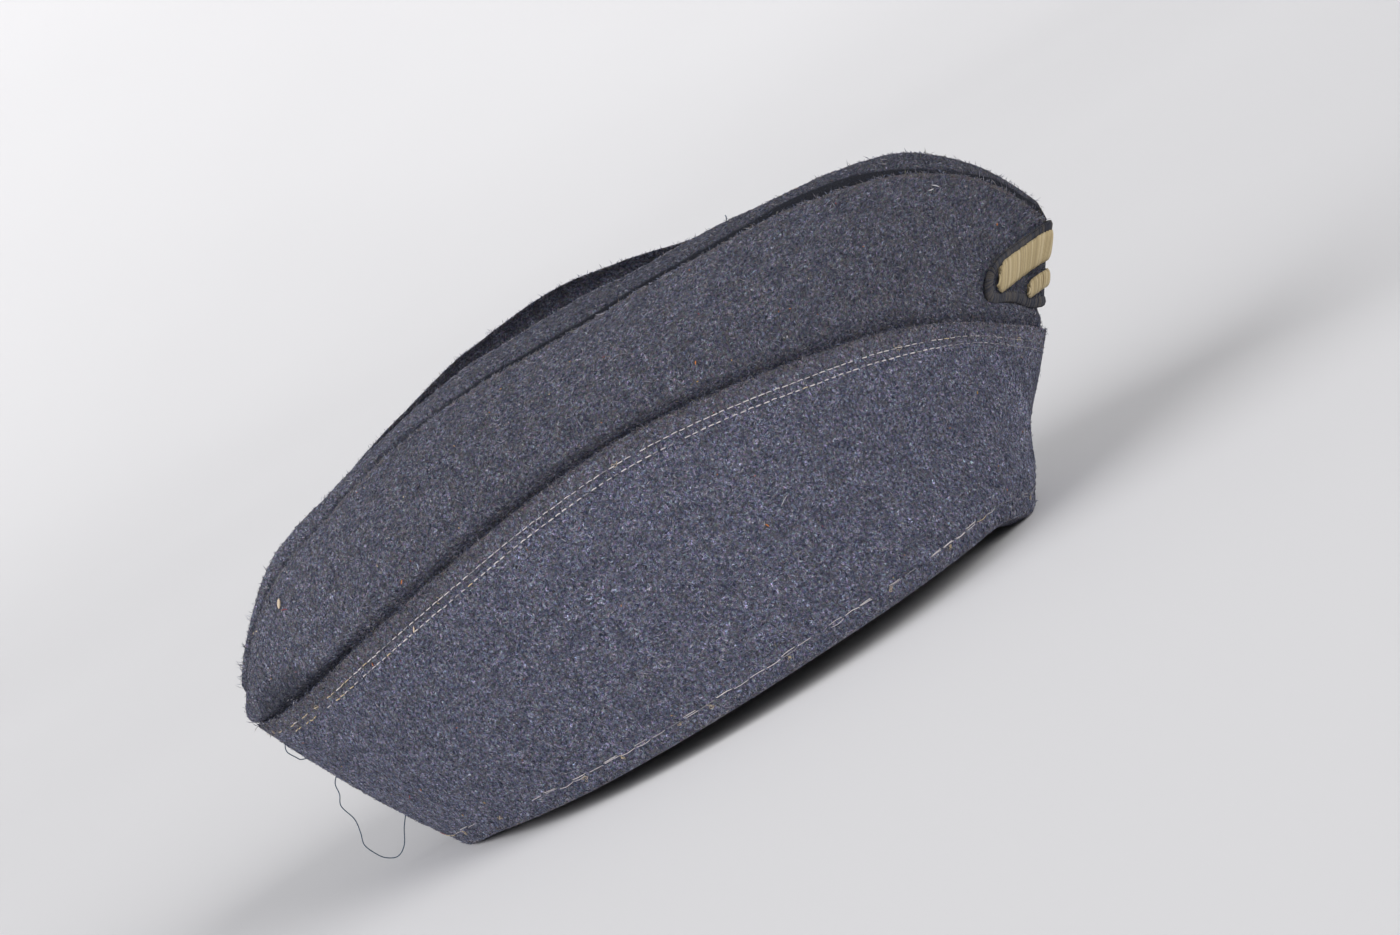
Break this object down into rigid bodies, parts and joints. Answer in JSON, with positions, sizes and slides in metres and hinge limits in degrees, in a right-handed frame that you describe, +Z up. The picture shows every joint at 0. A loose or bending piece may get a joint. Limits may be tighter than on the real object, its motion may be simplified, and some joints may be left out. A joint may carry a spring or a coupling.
{
  "type": "side cap",
  "caption": "Soft boat-shaped wool side cap with a dented top, a turned-up curtain round the sides and a plain barred cloth badge on the front.",
  "frame": {"origin": "centre of the footprint's bounding box, on the floor under the rim", "axes": "+X to the cap's front, +Y to the wearer's left, +Z up"},
  "size_m": [0.2938, 0.1588, 0.1305],
  "materials": {
    "crown_wool": "matt fulled wool, blue-grey melange",
    "curtain_wool": "matt fulled wool, blue-grey melange",
    "badge_cloth": "matt dark wool",
    "badge_thread": "satin-stitched thread, slight sheen"
  },
  "bodies": {
    "root": {"crown_right": "crown_wool", "crown_left": "crown_wool", "curtain_right": "curtain_wool", "curtain_left": "curtain_wool", "badge_patch": "badge_cloth", "badge_bar_upper": "badge_thread", "badge_bar_lower": "badge_thread"}
  },
  "joints": []
}
